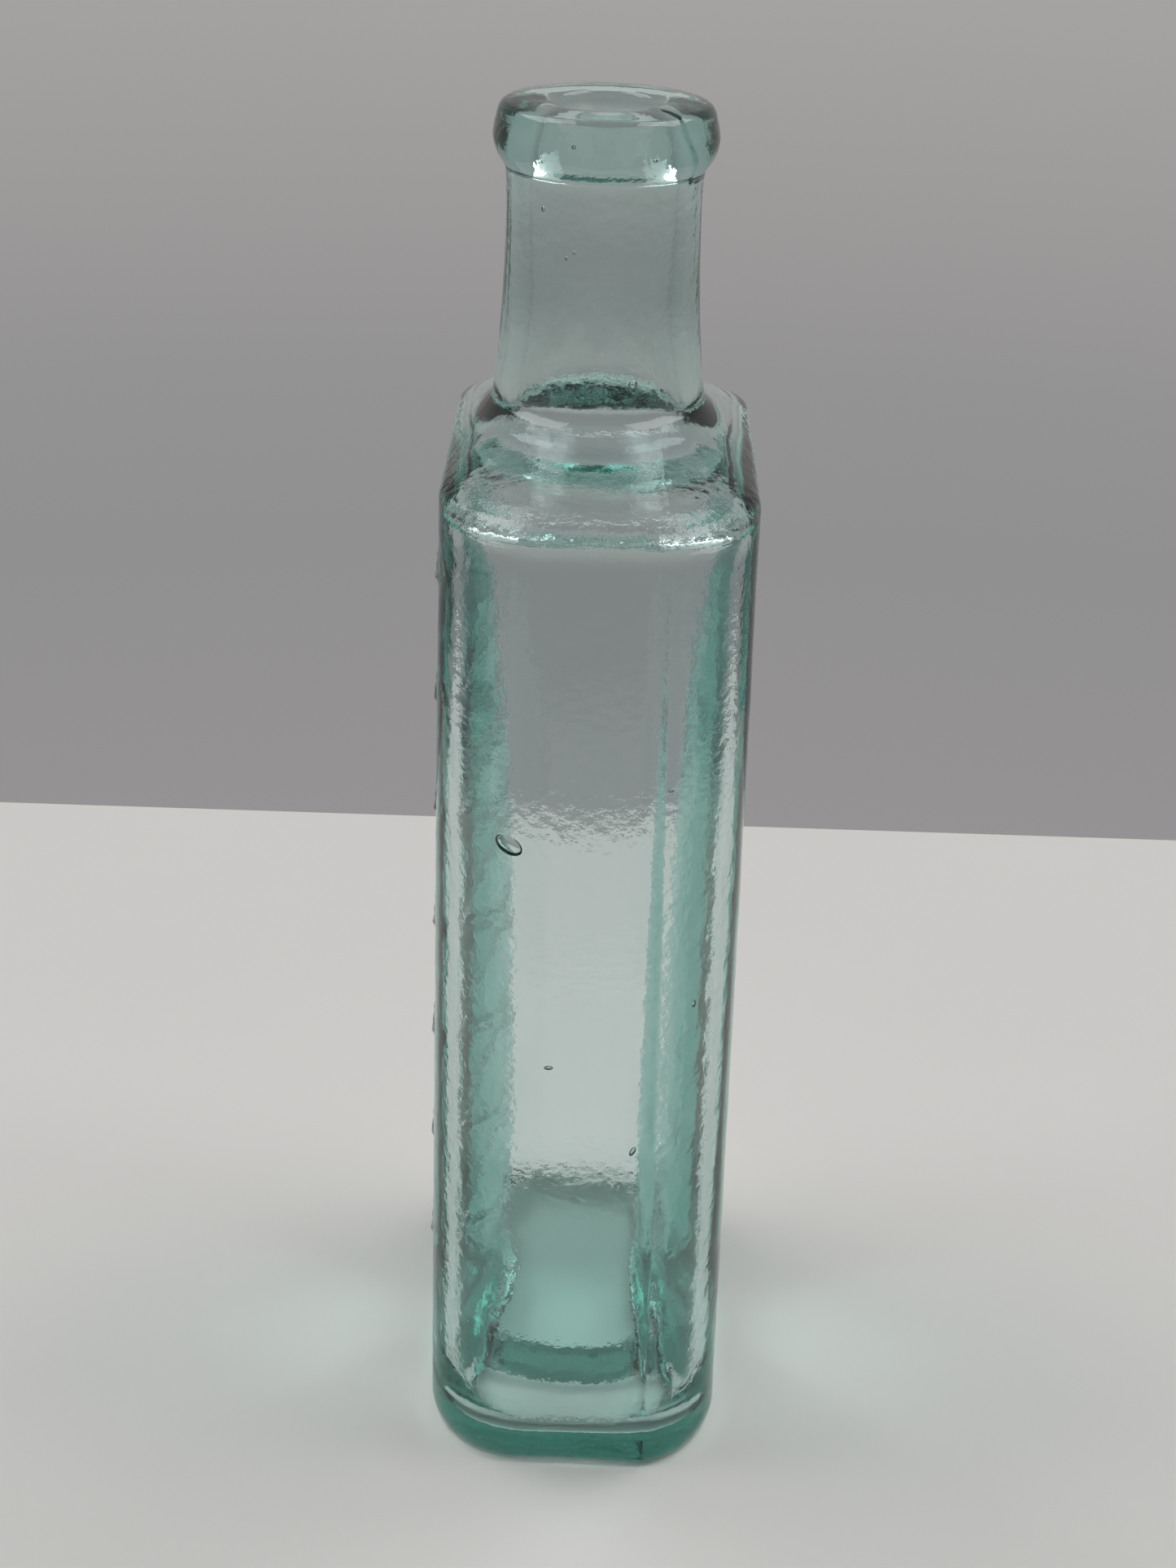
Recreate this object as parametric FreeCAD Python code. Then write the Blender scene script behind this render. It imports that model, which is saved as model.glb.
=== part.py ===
import FreeCAD, Part
import math
import os

# Antique mould-blown glass bottle with a rectangular body and an applied lip.
# Millimetres. The origin is the centre of the foot on the table, +Z is up, X runs across the narrow
# sides of the body and Y across the wide ones. The front narrow side faces -Y.

# Body, outside
WIDTH_FOOT = 39.0          # across X just above the foot
WIDTH_TOP = 38.3           # across X at the shoulder edge, a slight mould taper
DEPTH = 64.0               # across Y
EDGE_Z = 133.7             # where the upright sides end and the shoulder begins
PLAIN_CORNER_R = 13.0      # the two corners without a mould seam
SEAM_CORNER_R = 13.2       # the two diagonal corners that carry a seam
SEAM_INSET_FOOT = 9.5      # from the wide side in to the seam, where the corner meets the narrow side
SEAM_INSET_TOP = 10.5
HEEL_R = 3.0
EDGE_BEVEL_RISE = 1.3      # the soft edge between the sides and the shoulder
EDGE_BEVEL_IN = 0.7

# Neck and lip, outside
NECK_X = -0.65             # the neck stands a little off centre
SHOULDER_TOP_Z = 140.4
ROOT_ANGLES = (-145, -122, -58, -35)   # where the body's corners run into the neck, degrees from +X
NECK_PROFILE = (           # radius, height: a flared root, a long waist and the end under the lip
    (13.2, SHOULDER_TOP_Z),
    (12.55, 145.2),
    (12.1, 151.5),
    (11.75, 162.0),
    (11.9, 167.6),
)
SEAT_R = 9.9               # the cracked-off neck end tapers from the last profile radius to this
SEAT_Z = 169.2
LIP_R = 13.5
LIP_WIDEST_Z = 172.0
LIP_SHOULDER = (12.95, 175.3)
LIP_CREST = (11.8, 176.2)  # where the lip's rounded rim turns into its nearly flat top
LIP_TOP_Z = 176.6
MOUTH_R = 6.3              # the straight mouth a cork is pressed into
MOUTH_ROUND = 1.4          # rounding from the flat of the lip down into the mouth
MOUTH_END_Z = 172.2        # below this the hollow widens to the neck's

# Hollow
NECK_BORE_R = 8.4
SIDE_WALL = 2.4            # beside the corners; the wide sides are thicker along their middles
END_WALL = 2.5             # the two narrow sides
SIDE_BOW = (               # height, extra glass inside the middle of each wide side
    (14.0, 4.2),
    (30.0, 5.6),
    (60.0, 5.2),
    (100.0, 4.0),
    (129.7, 2.2),
)
BOW_POINTS = 8             # stretches the bowed curve is drawn in
CAVITY_CORNER_R = 11.0
CAVITY_CROWN_R = 12.2      # the hollow narrows to this at CAVITY_CROWN_Z, then flares down from the bore
CAVITY_CROWN_Z = 134.7
BORE_START_Z = 152.0
FLARE_SAG = 0.25           # share of the flare's width reached halfway up it

# Floor of the hollow: lowest beside the narrow front side, with a flat mound behind
FLOOR_LOW = 3.0
FLOOR_IN_X = 2.6           # how far the walls run in above the floor
FLOOR_IN_Y = 3.0
FLOOR_STEPS = 3            # sections in the run-out from wall to floor
MOUND_Z = 7.6
MOUND_Y = 8.5              # the mound's middle lies behind the centre
MOUND_HALF_X = 24.0
MOUND_HALF_Y = 25.0
MOUND_SLOPE = 3.0          # how far across its edge takes to fall

# Raised pattern on the -X side: a column of outlined lozenges
LOZENGE_COUNT = 7
LOZENGE_FIRST_Z = 28.0
LOZENGE_PITCH = 15.75
LOZENGE_HALF_Y = 18.0
LOZENGE_HALF_Z = 7.2
RIB_WIDTH = 1.3
RIB_HEIGHT = 0.45
RIB_ROOT = 1.0             # how deep the ribs are bedded into the wall


def vec(x, y, z=0.0):
    return FreeCAD.Vector(x, y, z)


def arc_about(centre, radius, start_deg, end_deg):
    """Return the arc from start_deg to end_deg round a level centre, passing through the middle."""
    def at(degrees):
        turn = math.radians(degrees)
        return centre + vec(radius * math.cos(turn), radius * math.sin(turn))
    return Part.Arc(at(start_deg), at((start_deg + end_deg) / 2), at(end_deg)).toShape()


def body_half(width, depth, seam_inset, z):
    """Return four edges: plain corner, narrow side, seam corner, wide side, for the -Y half."""
    half_x = width / 2
    half_y = depth / 2
    sweep = math.degrees(math.acos(1 - seam_inset / SEAM_CORNER_R))
    seam_depth = SEAM_CORNER_R * math.sin(math.radians(sweep))
    plain = arc_about(vec(PLAIN_CORNER_R - half_x, PLAIN_CORNER_R - half_y, z), PLAIN_CORNER_R, 180, 270)
    seam = arc_about(vec(half_x - SEAM_CORNER_R, seam_depth - half_y, z), SEAM_CORNER_R, -sweep, 0)
    narrow = Part.makeLine(vec(PLAIN_CORNER_R - half_x, -half_y, z), vec(half_x - seam_inset, -half_y, z))
    wide = Part.makeLine(vec(half_x, seam_depth - half_y, z), vec(half_x, half_y - PLAIN_CORNER_R, z))
    return [plain, narrow, seam, wide]


def turned(shape, degrees):
    """Return a copy turned about Z."""
    copy = shape.copy()
    copy.rotate(vec(0, 0), vec(0, 0, 1), degrees)
    return copy


def body_outline(width, depth, seam_inset, z):
    """Return the eight edges of the body's outline; the two halves match after half a turn."""
    half = body_half(width, depth, seam_inset, z)
    return half + [turned(edge, 180) for edge in half]


def bowed_side(half_x, reach, bow, z):
    """Return the hollow's edge along the +X wide side, bowed inwards and level with it at both ends."""
    points = []
    for i in range(BOW_POINTS + 1):
        share = 2 * i / BOW_POINTS - 1
        points.append(vec(half_x - bow * math.cos(share * math.pi / 2) ** 2, reach * share, z))
    curve = Part.BSplineCurve()
    curve.interpolate(Points=points, InitialTangent=vec(0, 1), FinalTangent=vec(0, 1))
    return curve.toShape()


def cavity_outline(z, run_in, bow):
    """Return the hollow's eight edges, matched to body_outline's.

    run_in goes from 0 on the upright walls to 1 where they have run out into the floor.
    """
    half_x = WIDTH_TOP / 2 - SIDE_WALL - FLOOR_IN_X * run_in
    half_y = DEPTH / 2 - END_WALL - FLOOR_IN_Y * run_in
    corner_r = CAVITY_CORNER_R - FLOOR_IN_X * run_in
    left = arc_about(vec(corner_r - half_x, corner_r - half_y, z), corner_r, 180, 270)
    front = Part.makeLine(vec(corner_r - half_x, -half_y, z), vec(half_x - corner_r, -half_y, z))
    right = arc_about(vec(half_x - corner_r, corner_r - half_y, z), corner_r, -90, 0)
    side = bowed_side(half_x, half_y - corner_r, bow, z)
    half = [left, front, right, side]
    return half + [turned(edge, 180) for edge in half]


def neck_ring(radius, z):
    """Return a circle about the neck's axis, cut into eight arcs that match an outline's edges."""
    turns = list(ROOT_ANGLES) + [angle + 180 for angle in ROOT_ANGLES] + [ROOT_ANGLES[0] + 360]
    return [arc_about(vec(NECK_X, 0, z), radius, a, b) for a, b in zip(turns, turns[1:])]


def ruled_solid(lower, upper):
    """Return the solid with straight lines drawn between two matched rings of edges."""
    faces = [Part.makeRuledSurface(low, high) for low, high in zip(lower, upper)]
    faces.append(Part.Face(Part.Wire(lower)))
    faces.append(Part.Face(Part.Wire(upper)))
    shell = Part.makeShell(faces)
    shell.sewShape()
    solid = Part.makeSolid(shell)
    if solid.Volume < 0:
        solid.reverse()
    return solid


def revolved(edges):
    """Return the solid made by turning a closed profile in the XZ plane about the neck's axis."""
    face = Part.Face(Part.Wire(edges))
    solid = face.revolve(vec(0, 0), vec(0, 0, 1), 360)
    solid.translate(vec(NECK_X, 0))
    return solid


def chain(points):
    """Return straight edges through (radius, height) points."""
    return [
        Part.makeLine(vec(a[0], 0, a[1]), vec(b[0], 0, b[1]))
        for a, b in zip(points, points[1:])
    ]


def edges_at(shape, z):
    """Return the edges of a shape that lie level at one height."""
    return [
        edge for edge in shape.Edges
        if abs(edge.BoundBox.ZMin - z) < 1e-3 and abs(edge.BoundBox.ZMax - z) < 1e-3
    ]


def neck_outside():
    """Return the solid neck, ending in the tapered seat the lip was laid on."""
    curve = Part.BSplineCurve()
    curve.interpolate([vec(radius, 0, z) for radius, z in NECK_PROFILE])
    top = NECK_PROFILE[-1]
    rest = [top, (SEAT_R, SEAT_Z), (0, SEAT_Z), (0, SHOULDER_TOP_Z), NECK_PROFILE[0]]
    return revolved([curve.toShape()] + chain(rest))


def body_outside():
    """Return the body without its hollow: rounded heel, tapered sides, soft edge, hipped shoulder."""
    top_width = WIDTH_TOP - 2 * EDGE_BEVEL_IN
    top_depth = DEPTH - 2 * EDGE_BEVEL_IN
    foot = body_outline(WIDTH_FOOT, DEPTH, SEAM_INSET_FOOT, 0)
    low = body_outline(WIDTH_TOP, DEPTH, SEAM_INSET_TOP, EDGE_Z - EDGE_BEVEL_RISE)
    high = body_outline(top_width, top_depth, SEAM_INSET_TOP - EDGE_BEVEL_IN, EDGE_Z)
    root = neck_ring(NECK_PROFILE[0][0], SHOULDER_TOP_Z)
    sides = ruled_solid(foot, low)
    sides = sides.makeFillet(HEEL_R, edges_at(sides, 0))
    return sides.fuse([ruled_solid(low, high), ruled_solid(high, root)])


def ellipse(half_x, half_y, z):
    """Return a level ellipse about the mound's middle, longer along Y."""
    centre = vec(0, MOUND_Y, z)
    return Part.Wire(Part.Ellipse(centre + vec(0, half_y), centre + vec(half_x, 0), centre).toShape())


def mound():
    """Return the flat-topped mound in the hollow's floor, begun a little below the floor."""
    spread = MOUND_SLOPE / 2
    below = FLOOR_LOW - 1
    lower = ellipse(MOUND_HALF_X + spread, MOUND_HALF_Y + spread, below)
    upper = ellipse(MOUND_HALF_X - spread, MOUND_HALF_Y - spread, MOUND_Z)
    return Part.makeLoft([lower, upper], True, True)


def well():
    """Return the hollow of the body below the shoulder: bowed walls that run out into the floor."""
    wall_foot, foot_bow = SIDE_BOW[0]
    sections = []
    for i in range(FLOOR_STEPS, 0, -1):
        turn = i / FLOOR_STEPS * math.pi / 2
        z = wall_foot - (wall_foot - FLOOR_LOW) * math.sin(turn)
        sections.append(cavity_outline(z, 1 - math.cos(turn), foot_bow))
    for z, bow in SIDE_BOW:
        sections.append(cavity_outline(z, 0, bow))
    layers = [ruled_solid(low, high) for low, high in zip(sections, sections[1:])]
    return layers[0].fuse(layers[1:]).cut(mound())


def funnel():
    """Return the flare that opens from the bore down to the crown of the hollow."""
    spread = CAVITY_CROWN_R - NECK_BORE_R
    curve = Part.Arc(
        vec(CAVITY_CROWN_R, 0, CAVITY_CROWN_Z),
        vec(NECK_BORE_R + spread * FLARE_SAG, 0, (CAVITY_CROWN_Z + BORE_START_Z) / 2),
        vec(NECK_BORE_R, 0, BORE_START_Z),
    ).toShape()
    rest = [
        (NECK_BORE_R, BORE_START_Z),
        (0, BORE_START_Z),
        (0, CAVITY_CROWN_Z),
        (CAVITY_CROWN_R, CAVITY_CROWN_Z),
    ]
    return revolved([curve] + chain(rest))


def cavity():
    """Return the hollow: the well, a vault that narrows, a funnel and the bore."""
    edge_z, edge_bow = SIDE_BOW[-1]
    edge = cavity_outline(edge_z, 0, edge_bow)
    crown = neck_ring(CAVITY_CROWN_R, CAVITY_CROWN_Z)
    bore_start = vec(NECK_X, 0, BORE_START_Z)
    bore = Part.makeCylinder(NECK_BORE_R, SEAT_Z - BORE_START_Z + 1, bore_start, vec(0, 0, 1))
    return well().fuse([ruled_solid(edge, crown), funnel(), bore])


def lozenge(z):
    """Return one raised lozenge outline on the -X side, bedded into the wall."""
    def diamond(half_y, half_z):
        corners = [(0, half_z), (half_y, 0), (0, -half_z), (-half_y, 0), (0, half_z)]
        points = [vec(0, y, dz) for y, dz in corners]
        face = Part.Face(Part.makePolygon(points))
        return face.extrude(vec(RIB_ROOT + RIB_HEIGHT, 0))
    slope = math.hypot(LOZENGE_HALF_Y, LOZENGE_HALF_Z)
    inner_y = LOZENGE_HALF_Y - RIB_WIDTH * slope / LOZENGE_HALF_Z
    inner_z = LOZENGE_HALF_Z - RIB_WIDTH * slope / LOZENGE_HALF_Y
    ring = diamond(LOZENGE_HALF_Y, LOZENGE_HALF_Z).cut(diamond(inner_y, inner_z))
    wall_x = WIDTH_FOOT / 2 - (WIDTH_FOOT - WIDTH_TOP) / 2 * z / EDGE_Z
    ring.translate(vec(-wall_x - RIB_HEIGHT, 0, z))
    return ring


def bottle_body():
    """Return the blown piece: base, sides, shoulder and neck."""
    pattern = [lozenge(LOZENGE_FIRST_Z + LOZENGE_PITCH * i) for i in range(LOZENGE_COUNT)]
    outside = body_outside().fuse([neck_outside()] + pattern)
    return outside.cut(cavity()).removeSplitter().Solids[0]


def applied_lip():
    """Return the lip: a collar of glass laid over the neck's tapered end and tooled round."""
    neck_end = NECK_PROFILE[-1]
    flat_r = MOUTH_R + MOUTH_ROUND
    mid_turn = math.radians(45)
    outer = Part.Arc(
        vec(neck_end[0], 0, neck_end[1]),
        vec(LIP_R, 0, LIP_WIDEST_Z),
        vec(LIP_SHOULDER[0], 0, LIP_SHOULDER[1]),
    ).toShape()
    rim = Part.Arc(
        vec(LIP_SHOULDER[0], 0, LIP_SHOULDER[1]),
        vec(LIP_SHOULDER[0] - 0.35, 0, LIP_CREST[1] - 0.2),
        vec(LIP_CREST[0], 0, LIP_CREST[1]),
    ).toShape()
    top = chain([LIP_CREST, (flat_r, LIP_TOP_Z)])
    mouth = Part.Arc(
        vec(flat_r, 0, LIP_TOP_Z),
        vec(flat_r - MOUTH_ROUND * math.sin(mid_turn), 0,
            LIP_TOP_Z - MOUTH_ROUND * (1 - math.cos(mid_turn))),
        vec(MOUTH_R, 0, LIP_TOP_Z - MOUTH_ROUND),
    ).toShape()
    inner = chain([
        (MOUTH_R, LIP_TOP_Z - MOUTH_ROUND),
        (MOUTH_R, MOUTH_END_Z),
        (NECK_BORE_R, SEAT_Z),
        (SEAT_R, SEAT_Z),
        neck_end,
    ])
    return revolved([outer, rim] + top + [mouth] + inner)


os.makedirs("parts", exist_ok=True)
for name, shape in (("bottle_body", bottle_body()), ("applied_lip", applied_lip())):
    print(name, shape.ShapeType, len(shape.Solids), shape.isValid(), round(shape.Volume, 1))
    print(shape.BoundBox)
    shape.exportStep("parts/" + name + ".step")
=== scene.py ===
import math

import bpy
import numpy as np
from mathutils import Matrix


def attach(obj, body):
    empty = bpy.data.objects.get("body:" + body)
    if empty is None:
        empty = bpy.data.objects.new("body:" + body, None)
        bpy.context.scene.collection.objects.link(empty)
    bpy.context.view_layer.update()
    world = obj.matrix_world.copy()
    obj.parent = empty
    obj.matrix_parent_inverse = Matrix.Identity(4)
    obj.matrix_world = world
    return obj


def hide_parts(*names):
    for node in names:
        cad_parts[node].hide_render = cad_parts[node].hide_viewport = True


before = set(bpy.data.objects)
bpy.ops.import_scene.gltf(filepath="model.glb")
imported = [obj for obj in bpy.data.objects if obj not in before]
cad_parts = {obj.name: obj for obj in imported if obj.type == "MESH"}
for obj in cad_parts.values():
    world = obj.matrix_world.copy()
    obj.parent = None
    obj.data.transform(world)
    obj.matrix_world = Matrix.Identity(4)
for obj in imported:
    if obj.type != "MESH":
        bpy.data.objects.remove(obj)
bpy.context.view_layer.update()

MM = 0.001

# The glass, in millimetres in the CAD's frame: origin at the foot's centre, Z up, front narrow side at -Y.
# A ring round the body runs plain corner, narrow side, seam corner, wide side, and its other half is the
# same after half a turn.
WIDTH_FOOT = 39.0
WIDTH_TOP = 38.3                  # at the shoulder edge
DEPTH = 64.0
EDGE_Z = 133.7                    # where the upright sides end and the shoulder begins
PLAIN_CORNER_R = 13.0
SEAM_CORNER_R = 13.2
SEAM_INSET_FOOT = 9.5             # from the wide side in to the seam
SEAM_INSET_TOP = 10.5
SEAM_FOLLOWS = 0.6                # how much of a ring's inset is taken off the seam's own
SOLE_HOLLOW = 0.5                 # how high the middle of the underside stands
HEEL_Z = 3.9                      # the heel's upper edge
HEEL_DIP = 2.1                    # how much lower that edge is at the seams
HEEL_DIP_REACH = 7.0
HEEL_IN = 1.9                     # how far the underside is drawn in from the sides
EDGE_SOFTNESS = 1.3               # how far the soft shoulder edge runs to each side of the corner
EDGE_ROUNDER = 1.5                # how much rounder the corners get towards the shoulder edge
ROUNDER_FROM_Z = 100.0
HIP_SWELL = 0.2                   # how far the shoulder bulges over the corners
HIP_FULLNESS = 0.8                # below 1 the bulge is fuller at its ends

# The neck and the lip, outside, as (height, radius) points
NECK_X = -0.65                    # the neck stands a little off centre
ROOT_Z = 140.4
ROOT_ANGLES = (-145, -122, -58, -35)   # where the body's corners run into the neck, degrees from +X
NECK_PROFILE = (
    (ROOT_Z, 13.2), (141.7, 12.9), (145.2, 12.55), (151.5, 12.1), (157, 11.85), (164, 11.72), (167.3, 11.84),
)
LIP_PROFILE = (
    NECK_PROFILE[-1], (168.5, 11.95), (168.9, 12.15), (169.3, 12.5), (170.1, 13.0), (171, 13.33),
    (172.2, 13.5), (173.4, 13.35), (174.6, 13.05), (175.2, 12.93), (175.75, 12.55), (176.05, 12.0),
    (176.3, 10.4), (176.35, 8.4), (176.2, 7.2), (175.9, 6.6), (175.3, 6.35),
)
NECK_EVENS_OVER = 24.0            # height over which the neck's points get equally spaced

# The hollow
MOUTH_R = 6.3
NECK_BORE_R = 8.4                 # below the mouth
BORE_WIDENS_Z = 176.0             # the mouth starts to widen here, going down
BORE_WIDENS_OVER = 8.0
INSIDE_TOP_Z = 174.2              # the highest ring of the hollow
BORE_START_Z = 152.0
BORE_EVENS_OVER = 20.0
CROWN_Z = 134.7                   # the foot of the neck's flare, from which the vault runs out
CROWN_R = 12.2
CAVITY_EDGE_Z = 129.7             # the top of the upright walls, where the vault ends
VAULT_SAG = 1.8                   # above 1 the vault is flatter by the crown than by the walls
SIDE_WALL = 2.4                   # at the corners; the wide sides are thicker along their middles
END_WALL = 2.5
SIDE_BOW = ((12, 4.0), (30, 5.6), (60, 5.2), (100, 4.0), (131, 2.2))   # height, extra glass mid-side
BOW_REACH = 25.0                  # how far along the wide side the extra glass runs from its middle
CAVITY_CORNER_R = 11.0
FLOOR_RISE = 11.0                 # height over which the walls run out into the floor
FLOOR_IN_X = 2.6
FLOOR_IN_Y = 3.0
MOAT_Z = 3.0                      # the floor is lowest beside the narrow sides
MOUND_Z = 7.6                     # and rises to a flat mound behind the middle
MOUND_Y = 8.5
MOUND_HALF = (24.0, 25.0)
MOUND_SLOPE = 3.0

# How many points each stretch of a ring gets: plain corner, narrow side, seam corner, wide side, twice.
# The last is the -X wide side, which carries the raised pattern.
OUTER_COUNTS = (26, 28, 28, 38, 26, 28, 28, 86)
INNER_COUNTS = (10, 8, 10, 20, 10, 8, 10, 20)
PER_INNER = sum(OUTER_COUNTS) // sum(INNER_COUNTS)   # outer points to each inner point in the mouth
NARROW_SIDES = (1, 5)
SEAM_CORNERS = (2, 6)
SEAM_INDEXES = [sum(OUTER_COUNTS[:stretch]) for stretch in SEAM_CORNERS]
SEAM_SOFTENING = 8                # how many times the bend at a seam is averaged
SEAM_SOFT_POINTS = 7              # and over how many points to each side
SEAM_CLUSTER = 1.4                # packs points closer together beside a seam

# How many rings each stretch of height gets
SOLE_SHARES = (0.12, 0.3, 0.5, 0.7, 0.85, 0.94)
HEEL_ROWS = 11
SIDE_ROWS = 170
EDGE_ROWS = 7
HIP_ROWS = 18
NECK_ROWS = 30
LIP_ROWS = 34
BORE_ROWS = 24
FLARE_ROWS = 8
VAULT_ROWS = 13
WALL_ROWS = 78
RUN_OUT_ROWS = 12
OUTER_FLOOR_ROWS = 20
MIDDLE_FLOOR_ROWS = 7

# Raised pattern on the -X side
LOZENGE_COUNT = 7
LOZENGE_FIRST_Z = 28.0
LOZENGE_PITCH = 15.75
LOZENGE_HALF_Y = 18.0
LOZENGE_HALF_Z = 7.2
RIB_HALF = 0.75
RIB_HEIGHT = 0.42
RIB_FULLNESS = 1.25               # above 1 the rib has a flat crest
PATTERN_DEPTH = 0.6               # how far in from the side the skin still carries the pattern

# Mould seams
SEAM_WIDTH = 0.28
SEAM_HEIGHT = 0.015
SEAM_FOOT_HEIGHT = 0.05           # added at the foot
SEAM_FOOT_REACH = 45.0
SEAM_STARTS_OVER = 1.5
SEAM_ENDS_ABOVE_ROOT = 3.0
SEAM_ENDS_OVER = 12.0

# Ripples in the glass: wavelength and height
COARSE_DIMPLES = (9.0, 0.010)
FINE_DIMPLES = (3.2, 0.004)
DIMPLE_PATCHES = 22.0             # wavelength of the patches where the fine dimples are deeper
EDGE_RIPPLES = (1.8, 0.022)
NECK_STREAKS = (3.4, 0.035)
STREAK_STRETCH = 0.045            # the streaks' own height per millimetre up the neck, which draws them out
STREAK_TWIST = 0.3
INSIDE_SWELLS = (46.0, 0.08)
INSIDE_DRAWN = (17.0, 0.04)
NECK_DRAWN = (4.6, 0.06)
DRAWN_STRETCH = 0.15              # the same for the drawn ripples inside
WAVE_COUNT = 28
WAVE_GAIN = 0.6                   # keeps the sum of the waves within about -1 to 1

# The step where the end of the lip's strand of glass lies over its start
FOLD_HEIGHT = 0.22
FOLD_TURN = -48                   # degrees from +X
FOLD_LEAN = 14                    # degrees further round at its lower end
FOLD_RISE = 2.2                   # degrees in which the step rises
FOLD_FADE = 38                    # degrees in which it dies away

# Air bubbles, each wholly inside a wall: middle, half sizes and, for those that lean, degrees about Y
BUBBLES = (
    (-9.6, -30.75, 93.0, 1.9, 0.45, 1.15, 35.0),
    (3.4, -11.3, 145.0, 0.55, 0.3, 0.55),
    (-4.2, -12.2, 173.0, 0.25, 0.2, 0.25),
    (5.0, -11.2, 171.6, 0.3, 0.2, 0.2),
    (-7.4, -8.2, 165.0, 0.2, 0.2, 0.35),
    (-4.6, -9.3, 159.5, 0.16, 0.16, 0.3),
    (-3.7, -9.6, 160.3, 0.16, 0.16, 0.2),
    (-4.2, -30.75, 62.0, 0.6, 0.3, 0.3),
    (6.8, -30.75, 50.0, 0.35, 0.3, 0.75, 25.0),
    (13.5, -29.2, 71.0, 0.3, 0.3, 0.55),
    (9.5, -30.75, 101.0, 0.35, 0.2, 0.2),
)
BUBBLE_RINGS = 9
BUBBLE_AROUND = 16

# Looks. From here on lengths are in metres.
GLASS_IOR = 1.52
GLASS_TAKES = (43.0, 18.0, 21.5)     # red, green and blue light lost per metre of glass
HAZE = 0.05                          # the most roughness, in patches
PEEL_DEPTH = 0.00008
EDGE_CRINKLE = 7.0                   # how much deeper the peel is along the shoulder edge
PAPER_TONES = ((0.79, 0.77, 0.75), (0.83, 0.81, 0.79))
PAPER_HALF_X = 0.22
PAPER_HALF_Y = 0.167
PAPER_CORNER_R = 0.03
PAPER_TOP = -0.00004                 # just clear of the foot
PAPER_THICKNESS = 0.0004

# The studio: the sine of the height above the horizon and the tone there
WORLD_TONES = (
    (-1.0, (0.27, 0.26, 0.26)),
    (-0.44, (0.300, 0.290, 0.297)),
    (-0.34, (0.283, 0.277, 0.281)),
    (-0.28, (0.297, 0.290, 0.291)),
    (-0.15, (0.375, 0.366, 0.360)),
    (0.1, (0.42, 0.41, 0.40)),
    (0.6, (0.36, 0.36, 0.36)),
    (1.0, (0.60, 0.60, 0.60)),
)
ROOM_DIM = 0.36                      # the room in front and to the sides, as a share of the backdrop
LIGHT_PLACE = (0.55, 0.12, 0.92)     # the right one; the left one mirrors it
LIGHT_AIM = (0, 0, 0.08)
LIGHT_SIZE = 0.66
LIGHT_POWER = 3.6

CAMERA_PLACE = (0.00086, -0.3168, 0.2359)
CAMERA_DOWN_DEG = 25.19
CAMERA_PAN_DEG = -0.236
CAMERA_ROLL_DEG = 1.76
CAMERA_LENS = 60.72                  # millimetres, on a sensor 36 mm wide
CAMERA_SENSOR = 36.0


def waves(points, wavelength, seed):
    """Return smooth random height, about -1 to 1, from many plane waves near one wavelength."""
    rng = np.random.default_rng(seed)
    way = rng.normal(size=(WAVE_COUNT, 3))
    way /= np.linalg.norm(way, axis=1)[:, None]
    way *= (2 * math.pi / wavelength) * rng.uniform(0.7, 1.5, (WAVE_COUNT, 1))
    phase = rng.uniform(0, 2 * math.pi, WAVE_COUNT)
    return np.cos(points @ way.T + phase).sum(-1) * math.sqrt(2 / WAVE_COUNT) * WAVE_GAIN


def ripples(points, kind, seed):
    wavelength, height = kind
    return waves(points, wavelength, seed) * height


def smooth(x):
    """Return 0 below 0, 1 above 1 and an S-curve between."""
    x = np.clip(x, 0, 1)
    return x * x * (3 - 2 * x)


def arc(cx, cy, radius, start_deg, end_deg, steps):
    turn = np.radians(start_deg + (end_deg - start_deg) * steps)
    return np.stack([cx + radius * np.cos(turn), cy + radius * np.sin(turn)], 1)


def line(start, end, steps):
    return np.array(start) + (np.array(end) - np.array(start)) * steps[:, None]


def both_halves(half, steps):
    """Return a whole ring from a function that draws its first half; the second is half a turn on."""
    return np.concatenate([np.concatenate(half(steps[:4])), -np.concatenate(half(steps[4:]))])


def steps_for(counts):
    """Return how far along its stretch each point of a ring lies, closer together beside the seams."""
    steps = [np.arange(n) / n for n in counts]
    for i in NARROW_SIDES:
        steps[i] = 1 - (1 - steps[i]) ** SEAM_CLUSTER
    for i in SEAM_CORNERS:
        steps[i] = steps[i] ** SEAM_CLUSTER
    return steps


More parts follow.
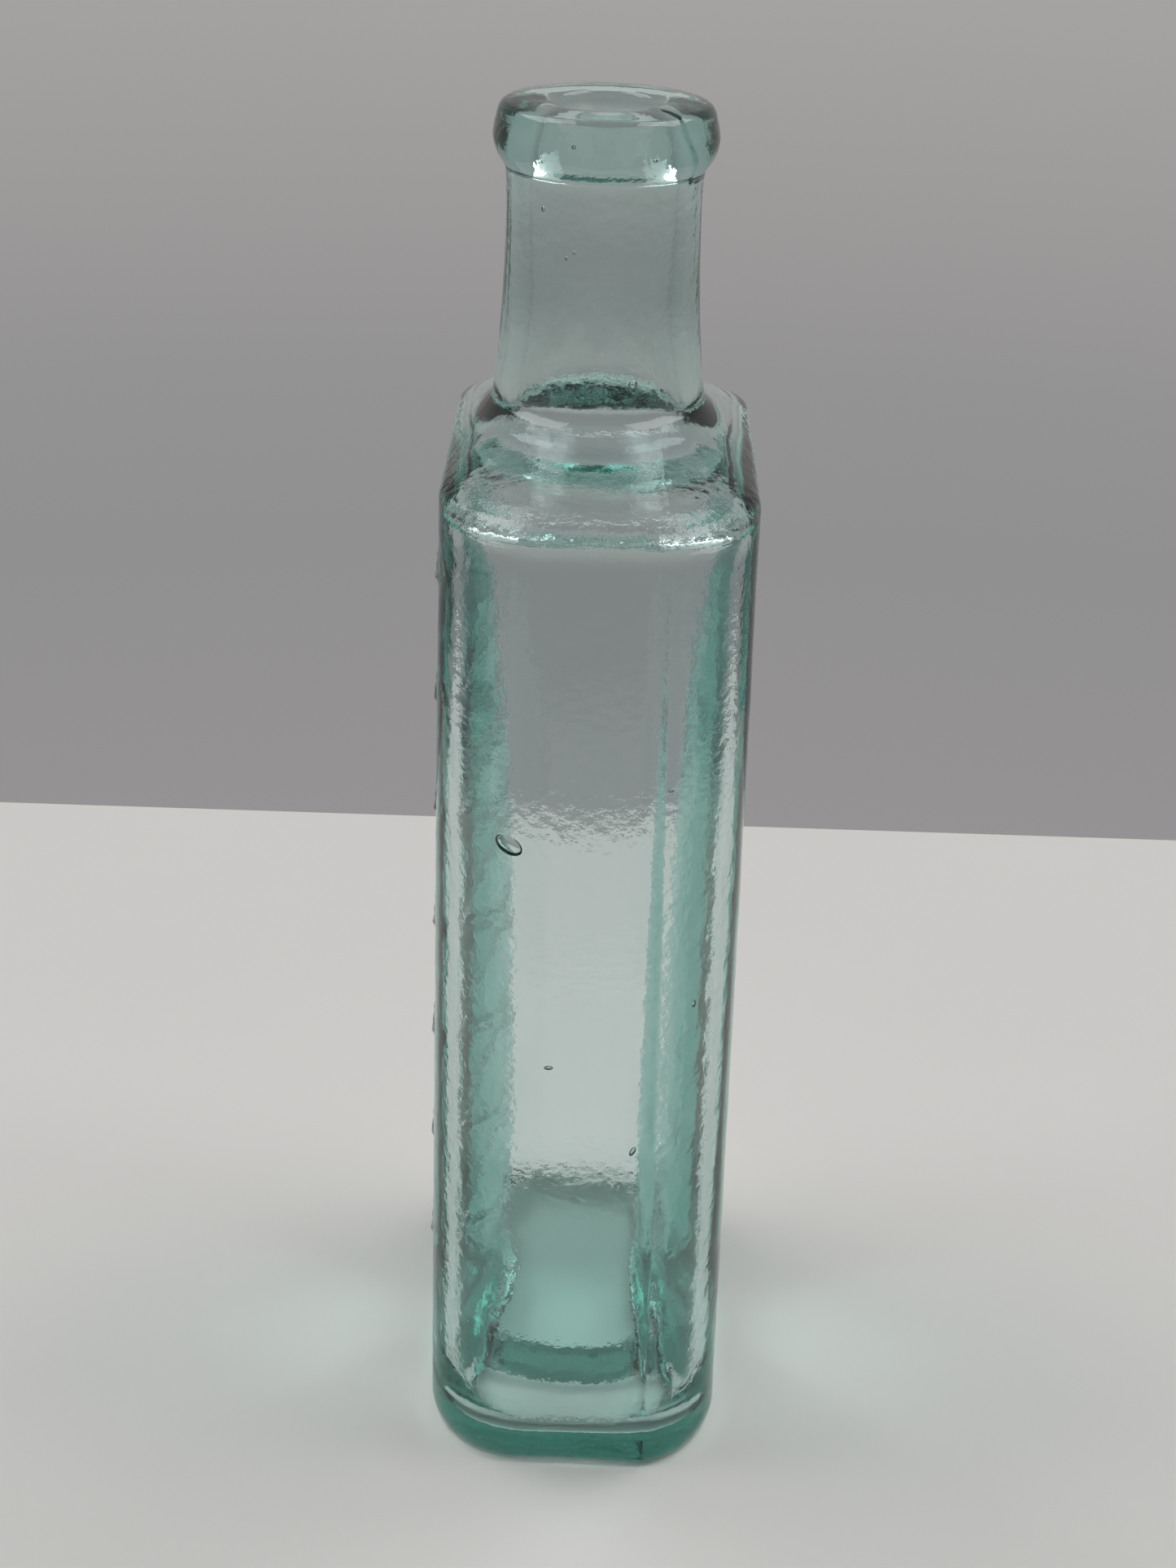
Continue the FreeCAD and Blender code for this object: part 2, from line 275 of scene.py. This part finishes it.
def body_ring(z, inset, steps, rounder=0.0):
    """Return the body's outline at one height, drawn in all round by inset."""
    rise = np.clip(z / EDGE_Z, 0, 1)
    half_x = (WIDTH_FOOT + (WIDTH_TOP - WIDTH_FOOT) * rise) / 2 - inset
    half_y = DEPTH / 2 - inset
    plain_r = PLAIN_CORNER_R - inset + rounder
    seam_r = SEAM_CORNER_R - inset + rounder
    seam_in = SEAM_INSET_FOOT + (SEAM_INSET_TOP - SEAM_INSET_FOOT) * rise - inset * SEAM_FOLLOWS
    sweep = math.degrees(math.acos(1 - seam_in / seam_r))
    seam_y = seam_r * math.sin(math.radians(sweep)) - half_y

    def half(part):
        return [
            arc(plain_r - half_x, plain_r - half_y, plain_r, 180, 270, part[0]),
            line((plain_r - half_x, -half_y), (half_x - seam_in, -half_y), part[1]),
            arc(half_x - seam_r, seam_y, seam_r, -sweep, 0, part[2]),
            line((half_x, seam_y), (half_x, half_y - plain_r), part[3]),
        ]

    ring = both_halves(half, steps)
    for _ in range(SEAM_SOFTENING):
        for index in SEAM_INDEXES:
            near = np.arange(index - SEAM_SOFT_POINTS, index + SEAM_SOFT_POINTS + 1)
            ring[near] = (ring[near - 1] + 2 * ring[near] + ring[near + 1]) / 4
    return ring


def cavity_ring(z, run_in, steps):
    """Return the hollow's outline at one height, a rounded box whose wide sides bow inwards.

    run_in goes from 0 on the upright walls to 1 where they have run out into the floor.
    """
    half_x = WIDTH_TOP / 2 - SIDE_WALL - FLOOR_IN_X * run_in
    half_y = DEPTH / 2 - END_WALL - FLOOR_IN_Y * run_in
    r = CAVITY_CORNER_R - FLOOR_IN_X * run_in

    def half(part):
        return [
            arc(r - half_x, r - half_y, r, 180, 270, part[0]),
            line((r - half_x, -half_y), (half_x - r, -half_y), part[1]),
            arc(half_x - r, r - half_y, r, -90, 0, part[2]),
            line((half_x, r - half_y), (half_x, half_y - r), part[3]),
        ]

    ring = both_halves(half, steps)
    x, y = ring.T
    bow = np.interp(z, *np.transpose(SIDE_BOW)) * np.cos(np.clip(y / BOW_REACH, -1, 1) * math.pi / 2) ** 2
    ring[:, 0] -= np.sign(x) * bow
    return ring


def floor_z(ring):
    """Return the height of the hollow's floor: a low moat round a flat mound."""
    out = np.hypot(ring[:, 0] / MOUND_HALF[0], (ring[:, 1] - MOUND_Y) / MOUND_HALF[1])
    share = smooth((1 - out) * MOUND_HALF[1] / MOUND_SLOPE + 0.5)
    return MOAT_Z + (MOUND_Z - MOAT_Z) * share


def neck_ring(radius, evenness, steps):
    """Return a circle about the neck; evenness 0 matches the body's corners, 1 spaces points equally."""
    turns = list(ROOT_ANGLES) + [a + 180 for a in ROOT_ANGLES] + [ROOT_ANGLES[0] + 360]
    matched = np.concatenate([a + (b - a) * s for a, b, s in zip(turns, turns[1:], steps)])
    even = ROOT_ANGLES[0] + 360 * np.arange(len(matched)) / len(matched)
    turn = np.radians(matched + (even - matched) * evenness)
    return np.stack([NECK_X + radius * np.cos(turn), radius * np.sin(turn)], 1)


def at_height(ring, z):
    return np.column_stack([ring, np.full(len(ring), z)])


def curve_rows(profile, count):
    """Return (z, radius) rows along a profile, evenly spaced along its length."""
    profile = np.array(profile, float)
    along = np.concatenate([[0], np.cumsum(np.linalg.norm(np.diff(profile, axis=0), axis=1))])
    at = np.linspace(0, along[-1], count)
    return np.column_stack([np.interp(at, along, profile[:, 0]), np.interp(at, along, profile[:, 1])])


def blend_rows(rows, first, last, times):
    """Round off the bend between the rows first and last by averaging each row with its neighbours."""
    for _ in range(times):
        rows[first:last] = (rows[first - 1:last - 1] + 2 * rows[first:last] + rows[first + 1:last + 1]) / 4


def heel_z(ring):
    """Return the height of the heel's upper edge, which dips at the two seams."""
    height = np.full(len(ring), HEEL_Z)
    for index in SEAM_INDEXES:
        gap = np.linalg.norm(ring - ring[index], axis=1)
        height -= HEEL_DIP * np.exp(-(gap / HEEL_DIP_REACH) ** 2)
    return height


def over_corners(ring):
    """Return 1 over the corners of the shoulder, 0 between them and a smooth change in between."""
    x, y = np.abs(ring.T)
    return smooth((x - 7) / 8) * smooth((y - 15) / 9)


def foot_rows(steps, heel):
    """Return the rings from the middle of the underside out and up round the heel."""
    sole = body_ring(0, HEEL_IN, steps)
    rows = [at_height(sole * share, SOLE_HOLLOW * (1 - share ** 4)) for share in SOLE_SHARES]
    for t in np.linspace(0, 1, HEEL_ROWS):
        ring = body_ring(0, HEEL_IN * (1 - math.sin(t * math.pi / 2)), steps)
        rows.append(np.column_stack([ring, heel * (1 - math.cos(t * math.pi / 2))]))
    return rows


def side_rows(steps, heel):
    """Return the rings up the sides, from above the heel to just below the shoulder edge."""
    rows = []
    top = EDGE_Z - EDGE_SOFTNESS
    for share in np.linspace(0, 1, SIDE_ROWS)[1:]:
        z = HEEL_Z + (EDGE_Z - HEEL_Z) * share
        rounder = EDGE_ROUNDER * smooth((z - ROUNDER_FROM_Z) / (EDGE_Z - ROUNDER_FROM_Z))
        ring = body_ring(z, 0, steps, rounder)
        rows.append(np.column_stack([ring, heel + (top - heel) * share]))
    return rows


def shoulder_rows(steps, below):
    """Return the rings from the row below, round the soft edge and up the hips to the neck's root."""
    rows = []
    corner = at_height(body_ring(EDGE_Z, 0, steps, EDGE_ROUNDER), EDGE_Z)
    swell = over_corners(corner[:, :2])
    root = at_height(neck_ring(NECK_PROFILE[0][1], 0, steps), ROOT_Z)
    run = np.linalg.norm(root - corner, axis=1)[:, None]
    above = corner + (root - corner) * (EDGE_SOFTNESS / run)
    for t in np.linspace(0, 1, EDGE_ROWS)[1:]:
        rows.append(below * (1 - t) ** 2 + corner * 2 * t * (1 - t) + above * t ** 2)
    for t in np.linspace(0, 1, HIP_ROWS)[1:]:
        row = above + (root - above) * t
        row[:, 2] += HIP_SWELL * swell * math.sin(t * math.pi) ** HIP_FULLNESS
        rows.append(row)
    return rows


def outer_rows():
    """Return the outside's rings from the middle of the base up to the mouth, as one array."""
    steps = steps_for(OUTER_COUNTS)
    heel = heel_z(body_ring(0, 0, steps))
    rows = foot_rows(steps, heel) + side_rows(steps, heel)
    rows += shoulder_rows(steps, rows[-1])
    root_row = len(rows)
    for z, radius in curve_rows(NECK_PROFILE, NECK_ROWS)[1:]:
        rows.append(at_height(neck_ring(radius, smooth((z - ROOT_Z) / NECK_EVENS_OVER), steps), z))
    for z, radius in curve_rows(LIP_PROFILE, LIP_ROWS)[1:]:
        rows.append(at_height(neck_ring(radius, 1, steps), z))
    rows = np.array(rows)
    blend_rows(rows, first=root_row - 5, last=root_row + 3, times=2)
    return rows


def bore_rows(steps):
    """Return the hollow's rings from inside the mouth down the neck and its flare to the crown."""
    rows = []
    for z in np.linspace(INSIDE_TOP_Z, BORE_START_Z, BORE_ROWS):
        radius = MOUTH_R + (NECK_BORE_R - MOUTH_R) * smooth((BORE_WIDENS_Z - z) / BORE_WIDENS_OVER)
        rows.append(at_height(neck_ring(radius, smooth((z - BORE_START_Z) / BORE_EVENS_OVER), steps), z))
    for t in np.linspace(0, 1, FLARE_ROWS)[1:]:
        z = BORE_START_Z + (CROWN_Z - BORE_START_Z) * t
        rows.append(at_height(neck_ring(NECK_BORE_R + (CROWN_R - NECK_BORE_R) * t ** 2, 0, steps), z))
    return rows


def vault_rows(steps, crown):
    """Return the rings from the crown out and down to the top of the upright walls."""
    rows = []
    edge = at_height(cavity_ring(CAVITY_EDGE_Z, 0, steps), CAVITY_EDGE_Z)
    for t in np.linspace(0, 1, VAULT_ROWS)[1:]:
        row = crown + (edge - crown) * math.sin(t * math.pi / 2)
        row[:, 2] = CROWN_Z + (CAVITY_EDGE_Z - CROWN_Z) * t ** VAULT_SAG
        rows.append(row)
    return rows


def wall_rows(steps):
    """Return the rings down the upright walls and round their run-out, to the floor's middle."""
    rows = []
    low = MOAT_Z + FLOOR_RISE
    for z in np.linspace(CAVITY_EDGE_Z, low, WALL_ROWS)[1:]:
        rows.append(at_height(cavity_ring(z, 0, steps), z))
    for t in np.linspace(0, 1, RUN_OUT_ROWS)[1:]:
        edge = cavity_ring(low, 1 - math.cos(t * math.pi / 2), steps)
        floor = floor_z(edge)
        rows.append(np.column_stack([edge, low + (floor - low) * math.sin(t * math.pi / 2)]))
    outer_shares = np.linspace(1, 0.5, OUTER_FLOOR_ROWS)[1:]
    middle_shares = np.linspace(0.5, 0, MIDDLE_FLOOR_ROWS)[1:-1]
    for share in np.concatenate([outer_shares, middle_shares]):
        ring = edge * share
        rows.append(np.column_stack([ring, floor_z(ring)]))
    return rows


def inner_rows():
    """Return the hollow's rings from inside the mouth down to the middle of its floor."""
    steps = steps_for(INNER_COUNTS)
    rows = bore_rows(steps)
    rows += vault_rows(steps, rows[-1])
    wall_row = len(rows)
    rows = np.array(rows + wall_rows(steps))
    blend_rows(rows, first=BORE_ROWS - 4, last=wall_row + 5, times=4)
    return rows


def grid_normals(rows):
    """Return the unit normals of a grid of rings, pointing out of the glass."""
    around = np.roll(rows, -1, 1) - np.roll(rows, 1, 1)
    along = np.gradient(rows, axis=0)
    normal = np.cross(around, along)
    return normal / np.maximum(np.linalg.norm(normal, axis=2)[..., None], 1e-9)


def lozenge_relief(rows):
    """Return the height of the raised lozenge outlines on the -X side."""
    x, y, z = rows[..., 0], rows[..., 1], rows[..., 2]
    height = np.zeros(x.shape)
    steep = math.hypot(1 / LOZENGE_HALF_Y, 1 / LOZENGE_HALF_Z)
    for i in range(LOZENGE_COUNT):
        middle = LOZENGE_FIRST_Z + LOZENGE_PITCH * i
        off = (np.abs(y) / LOZENGE_HALF_Y + np.abs(z - middle) / LOZENGE_HALF_Z - 1) / steep
        height = np.maximum(height, smooth(RIB_FULLNESS * (1 - np.abs(off) / RIB_HALF)))
    return np.where(x < -WIDTH_TOP / 2 + PATTERN_DEPTH, height * RIB_HEIGHT, 0)


def seam_relief(rows):
    """Return the height of the thin mould seams up two diagonal corners and over the shoulder."""
    height = np.zeros(rows.shape[:2])
    up = rows[:, 0, 2]
    ends = 1 - smooth((up - ROOT_Z - SEAM_ENDS_ABOVE_ROOT) / SEAM_ENDS_OVER)
    fade = ends * smooth(up / SEAM_STARTS_OVER)
    for index in SEAM_INDEXES:
        gap = np.linalg.norm(rows[:, :, :2] - rows[:, index:index + 1, :2], axis=2)
        height = np.maximum(height, np.exp(-(gap / SEAM_WIDTH) ** 2) * fade[:, None])
    return height * (SEAM_HEIGHT + SEAM_FOOT_HEIGHT * (1 - smooth(up / SEAM_FOOT_REACH)))[:, None]


def mould_texture(rows):
    """Return the faint dimpling that a cool iron mould leaves, and the ripples along the shoulder edge."""
    patch = smooth(0.5 + waves(rows, DIMPLE_PATCHES, 3))
    dimples = ripples(rows, COARSE_DIMPLES, 1) + ripples(rows, FINE_DIMPLES, 2) * (0.35 + patch)
    on_sides = 1 + 2 * smooth((np.abs(rows[..., 0]) - 11) / 5)
    on_edge = smooth(1.3 - np.abs(rows[..., 2] - EDGE_Z + 0.5) / 3)
    return dimples * on_sides + ripples(rows, EDGE_RIPPLES, 4) * on_edge


def edge_crinkle(points):
    """Return how crinkled the outside's skin is, 1 along the shoulder edge and its hips and 0 elsewhere."""
    z = points[:, 2]
    edge = smooth(1.2 - np.abs(z - EDGE_Z) / 1.6)
    hips = over_corners(points[:, :2]) * smooth(1.4 - np.abs(z - EDGE_Z - 1.2) / 2)
    return np.maximum(edge, hips)


def neck_streaks(rows):
    """Return long shallow streaks that run up the neck, drawn while the glass was soft."""
    turn = np.arctan2(rows[..., 1], rows[..., 0] - NECK_X)
    z = rows[..., 2]
    mean_r = 12
    up = z * STREAK_STRETCH + turn * STREAK_TWIST
    drawn = np.stack([np.cos(turn) * mean_r, np.sin(turn) * mean_r, up], -1)
    on_neck = smooth((z - ROOT_Z) / 4) * (1 - smooth((z - 167) / 3))
    return ripples(drawn, NECK_STREAKS, 5) * on_neck


def lip_fold(rows):
    """Return the low step where the end of the lip's strand of glass was laid over its start."""
    turn = np.degrees(np.arctan2(rows[..., 1], rows[..., 0] - NECK_X))
    z = rows[..., 2]
    front = FOLD_TURN + FOLD_LEAN * smooth((175.5 - z) / 8)
    past = turn - front
    step = smooth(past / FOLD_RISE) * np.exp(-np.maximum(past, 0) / FOLD_FADE)
    on_lip = smooth((z - 167.4) / 0.8)
    return FOLD_HEIGHT * step * on_lip * (past < 170)


def shaped_outside():
    rows = outer_rows()
    normal = grid_normals(rows)
    stand = smooth(rows[..., 2] / 3)
    lip = smooth((rows[..., 2] - 174) / 1.5)
    height = mould_texture(rows) * stand * (1 - 0.6 * lip)
    height += lozenge_relief(rows) + seam_relief(rows) + neck_streaks(rows) + lip_fold(rows)
    return rows + normal * height[..., None]


def shaped_inside():
    """Return the hollow's skin, uneven in the body and drawn out into streaks in the neck."""
    rows = inner_rows()
    normal = grid_normals(rows)
    body = smooth((150 - rows[..., 2]) / 12)
    drawn = rows * (1, 1, DRAWN_STRETCH)
    height = ripples(rows, INSIDE_SWELLS, 11) * body + ripples(drawn, INSIDE_DRAWN, 12) * (0.4 + body)
    height += ripples(drawn, NECK_DRAWN, 14) * (1 - 0.9 * body)
    return rows + normal * height[..., None]


def bubble(x, y, z, half_x, half_y, half_z, tilt_deg=0.0):
    """Return an air bubble's points and faces, facing inwards because the air is outside the glass."""
    points = [(0, 0, 1)]
    for i in range(1, BUBBLE_RINGS):
        polar = math.pi * i / BUBBLE_RINGS
        for j in range(BUBBLE_AROUND):
            turn = 2 * math.pi * j / BUBBLE_AROUND
            out = math.sin(polar)
            points.append((out * math.cos(turn), out * math.sin(turn), math.cos(polar)))
    points.append((0, 0, -1))
    tilt = np.array(Matrix.Rotation(math.radians(tilt_deg), 3, "Y"))
    points = (np.array(points) * (half_x, half_y, half_z)) @ tilt.T + (x, y, z)
    faces = []
    for j in range(BUBBLE_AROUND):
        after = (j + 1) % BUBBLE_AROUND
        faces.append((0, 1 + after, 1 + j))
        for i in range(BUBBLE_RINGS - 2):
            low, high = 1 + i * BUBBLE_AROUND, 1 + (i + 1) * BUBBLE_AROUND
            faces.append((low + j, low + after, high + after, high + j))
        last = 1 + (BUBBLE_RINGS - 2) * BUBBLE_AROUND
        faces.append((last + j, last + after, len(points) - 1))
    return points, faces


def ring_faces(first, rows, around):
    """Return the quads of a grid of rings whose points start at index first."""
    faces = []
    for i in range(rows - 1):
        low = first + i * around
        for j in range(around):
            after = (j + 1) % around
            faces.append((low + j, low + after, low + around + after, low + around + j))
    return faces


def mouth_faces(rim, around, start_in, inner_around):
    """Return the faces that join the outside's last ring to the hollow's first, which has fewer points."""
    faces = []
    for j in range(inner_around):
        here, after = start_in + j, start_in + (j + 1) % inner_around
        edge = [rim + (PER_INNER * j + k) % around for k in range(PER_INNER + 1)]
        faces += [(edge[0], edge[1], here), (edge[1], edge[2], after, here), (edge[2], edge[3], after)]
    return faces


def glass_mesh():
    """Build the bottle as one closed skin, outside and inside, with its bubbles as closed voids."""
    outside = shaped_outside()
    inside = shaped_inside()
    n_out, around = outside.shape[:2]
    n_in, inner_around = inside.shape[:2]
    base_pole = outside[0].mean(0)
    floor_pole = inside[-1].mean(0)
    points = [outside.reshape(-1, 3), inside.reshape(-1, 3), base_pole[None], floor_pole[None]]
    start_in = n_out * around
    pole = start_in + n_in * inner_around
    faces = ring_faces(0, n_out, around) + ring_faces(start_in, n_in, inner_around)
    faces += [(pole, (j + 1) % around, j) for j in range(around)]
    last = start_in + (n_in - 1) * inner_around
    faces += [(pole + 1, last + j, last + (j + 1) % inner_around) for j in range(inner_around)]
    faces += mouth_faces((n_out - 1) * around, around, start_in, inner_around)
    total = pole + 2
    for spec in BUBBLES:
        extra, more = bubble(*spec)
        points.append(extra)
        faces += [tuple(total + i for i in face) for face in more]
        total += len(extra)
    mesh = bpy.data.meshes.new("blown_glass")
    mesh.from_pydata((np.concatenate(points) * MM).tolist(), [], faces)
    mesh.polygons.foreach_set("use_smooth", [True] * len(mesh.polygons))
    share = np.zeros(total)
    share[:start_in] = edge_crinkle(outside.reshape(-1, 3))
    mesh.attributes.new("crinkle", "FLOAT", "POINT").data.foreach_set("value", share)
    mesh.update()
    return mesh


def node(tree, kind, inputs=None, **settings):
    """Add a shader node and set its attributes and the values of its inputs."""
    made = tree.nodes.new(kind)
    for name, value in settings.items():
        setattr(made, name, value)
    for name, value in (inputs or {}).items():
        made.inputs[name].default_value = value
    return made


def link(tree, source, output, target, entry):
    tree.links.new(source.outputs[output], target.inputs[entry])


def add_haze(tree, place, shader):
    """Make the glass very slightly rough in patches."""
    noise = node(tree, "ShaderNodeTexNoise", {"Scale": 60, "Detail": 4})
    patches = {"From Min": 0.45, "From Max": 0.8, "To Min": 0.0, "To Max": HAZE}
    amount = node(tree, "ShaderNodeMapRange", patches)
    link(tree, place, "Object", noise, "Vector")
    link(tree, noise, "Fac", amount, "Value")
    link(tree, amount, "Result", shader, "Roughness")


def add_peel(tree, place, shader):
    """Bump the glass with faint orange peel, deeper where the mesh is marked as crinkled."""
    noise = node(tree, "ShaderNodeTexNoise", {"Scale": 750, "Detail": 3})
    on_edge = node(tree, "ShaderNodeAttribute", attribute_name="crinkle")
    crinkle = node(tree, "ShaderNodeMapRange", {"To Min": 1.0, "To Max": EDGE_CRINKLE})
    relief = node(tree, "ShaderNodeMath", operation="MULTIPLY")
    bump = node(tree, "ShaderNodeBump", {"Strength": 0.5, "Distance": PEEL_DEPTH})
    link(tree, place, "Object", noise, "Vector")
    link(tree, on_edge, "Fac", crinkle, "Value")
    link(tree, noise, "Fac", relief, 0)
    link(tree, crinkle, "Result", relief, 1)
    link(tree, relief, "Value", bump, "Height")
    link(tree, bump, "Normal", shader, "Normal")


def glass_material():
    """Aqua bottle glass: clear, coloured by its own thickness, with faint orange peel and haze."""
    mat = bpy.data.materials.new("aqua_glass")
    mat.use_nodes = True
    tree = mat.node_tree
    tree.nodes.clear()
    out = node(tree, "ShaderNodeOutputMaterial")
    clear = {"Base Color": (1, 1, 1, 1), "IOR": GLASS_IOR, "Transmission Weight": 1.0}
    shader = node(tree, "ShaderNodeBsdfPrincipled", clear)
    place = node(tree, "ShaderNodeTexCoord")
    add_haze(tree, place, shader)
    add_peel(tree, place, shader)
    taken = np.array(GLASS_TAKES)
    kept = (*(1 - taken / taken.max()), 1)
    tint = node(tree, "ShaderNodeVolumeAbsorption", {"Density": taken.max(), "Color": kept})
    link(tree, shader, "BSDF", out, "Surface")
    link(tree, tint, "Volume", out, "Volume")
    return mat


def paper_material():
    mat = bpy.data.materials.new("paper")
    mat.use_nodes = True
    tree = mat.node_tree
    shader = tree.nodes["Principled BSDF"]
    shader.inputs["Roughness"].default_value = 0.85
    shader.inputs["Specular IOR Level"].default_value = 0.2
    place = node(tree, "ShaderNodeTexCoord")
    cloud = node(tree, "ShaderNodeTexNoise", {"Scale": 14, "Detail": 5})
    tone = node(tree, "ShaderNodeValToRGB")
    for stop, colour in zip(tone.color_ramp.elements, PAPER_TONES):
        stop.color = (*colour, 1)
    link(tree, place, "Object", cloud, "Vector")
    link(tree, cloud, "Fac", tone, "Fac")
    link(tree, tone, "Color", shader, "Base Color")
    return mat


def paper_floor():
    """Lay a pale sheet with rounded corners under the bottle; its far edge shows against the backdrop."""
    corner_x = PAPER_HALF_X - PAPER_CORNER_R
    corner_y = PAPER_HALF_Y - PAPER_CORNER_R
    steps = np.linspace(0, 1, 12)
    edge = []
    for side_x, side_y, start in ((1, 1, 0), (-1, 1, 90), (-1, -1, 180), (1, -1, 270)):
        edge.append(arc(side_x * corner_x, side_y * corner_y, PAPER_CORNER_R, start, start + 90, steps))
    edge = np.concatenate(edge)
    n = len(edge)
    points = np.concatenate([at_height(edge, PAPER_TOP), at_height(edge, PAPER_TOP - PAPER_THICKNESS)])
    faces = [tuple(range(n)), tuple(reversed(range(n, 2 * n)))]
    faces += [(n + i, n + (i + 1) % n, (i + 1) % n, i) for i in range(n)]
    mesh = bpy.data.meshes.new("floor")
    mesh.from_pydata(points.tolist(), [], faces)
    floor = bpy.data.objects.new("floor", mesh)
    floor.data.materials.append(paper_material())
    bpy.context.collection.objects.link(floor)
    return floor


def set_world():
    """Light the grey studio by height, brighter at the backdrop behind the bottle than in front."""
    world = bpy.data.worlds.new("studio")
    bpy.context.scene.world = world
    world.use_nodes = True
    tree = world.node_tree
    back = tree.nodes["Background"]
    place = node(tree, "ShaderNodeTexCoord")
    split = node(tree, "ShaderNodeSeparateXYZ")
    height = node(tree, "ShaderNodeMapRange", {"From Min": -1, "From Max": 1})
    ramp = node(tree, "ShaderNodeValToRGB")
    stops = ramp.color_ramp.elements
    stops[0].color = (*WORLD_TONES[0][1], 1)
    stops[1].color = (*WORLD_TONES[-1][1], 1)
    for up, tone in WORLD_TONES[1:-1]:
        stops.new(up / 2 + 0.5).color = (*tone, 1)
    room = {"From Min": -0.3, "From Max": 0.85, "To Min": ROOM_DIM, "To Max": 1.0}
    behind = node(tree, "ShaderNodeMapRange", room, interpolation_type="SMOOTHSTEP")
    link(tree, place, "Generated", split, "Vector")
    link(tree, split, "Z", height, "Value")
    link(tree, height, "Result", ramp, "Fac")
    link(tree, split, "Y", behind, "Value")
    link(tree, behind, "Result", back, "Strength")
    link(tree, ramp, "Color", back, "Color")


def looking(place, forward, roll_deg=0.0):
    """Return the pose of a camera or lamp at place that looks along forward, rolled about its view."""
    forward = np.array(forward, float) / np.linalg.norm(forward)
    level = np.cross(forward, (0, 0, 1))
    level /= np.linalg.norm(level)
    up = np.cross(level, forward)
    roll = math.radians(roll_deg)
    right = math.cos(roll) * level + math.sin(roll) * up
    over = np.cross(right, forward)
    pose = Matrix.Identity(4)
    for i in range(3):
        pose[i][0], pose[i][1], pose[i][2], pose[i][3] = right[i], over[i], -forward[i], place[i]
    return pose


def soft_light(name, side):
    """Hang a square lamp over one side of the bottle, aimed at its body; side is 1 or -1."""
    data = bpy.data.lights.new(name, "AREA")
    data.shape = "SQUARE"
    data.size = LIGHT_SIZE
    data.energy = LIGHT_POWER
    lamp = bpy.data.objects.new(name, data)
    bpy.context.collection.objects.link(lamp)
    place = np.array(LIGHT_PLACE) * (side, 1, 1)
    lamp.matrix_world = looking(place, np.array(LIGHT_AIM) - place)


def add_camera():
    data = bpy.data.cameras.new("camera")
    data.lens = CAMERA_LENS
    data.sensor_width = CAMERA_SENSOR
    data.clip_start = 0.01
    camera = bpy.data.objects.new("camera", data)
    bpy.context.collection.objects.link(camera)
    down = math.radians(CAMERA_DOWN_DEG)
    pan = math.radians(CAMERA_PAN_DEG)
    forward = (math.sin(pan) * math.cos(down), math.cos(pan) * math.cos(down), -math.sin(down))
    camera.matrix_world = looking(CAMERA_PLACE, forward, CAMERA_ROLL_DEG)
    bpy.context.scene.camera = camera


glass = bpy.data.objects.new("blown_glass", glass_mesh())
glass.data.materials.append(glass_material())
bpy.context.collection.objects.link(glass)
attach(glass, "root")
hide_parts("bottle_body", "applied_lip")

paper_floor()
set_world()
soft_light("left_light", -1)
soft_light("right_light", 1)
add_camera()

scene = bpy.context.scene
scene.view_settings.view_transform = "Standard"
scene.cycles.max_bounces = 28
scene.cycles.transmission_bounces = 26
scene.cycles.glossy_bounces = 14
scene.cycles.diffuse_bounces = 6
scene.cycles.sample_clamp_indirect = 0
scene.cycles.blur_glossy = 0
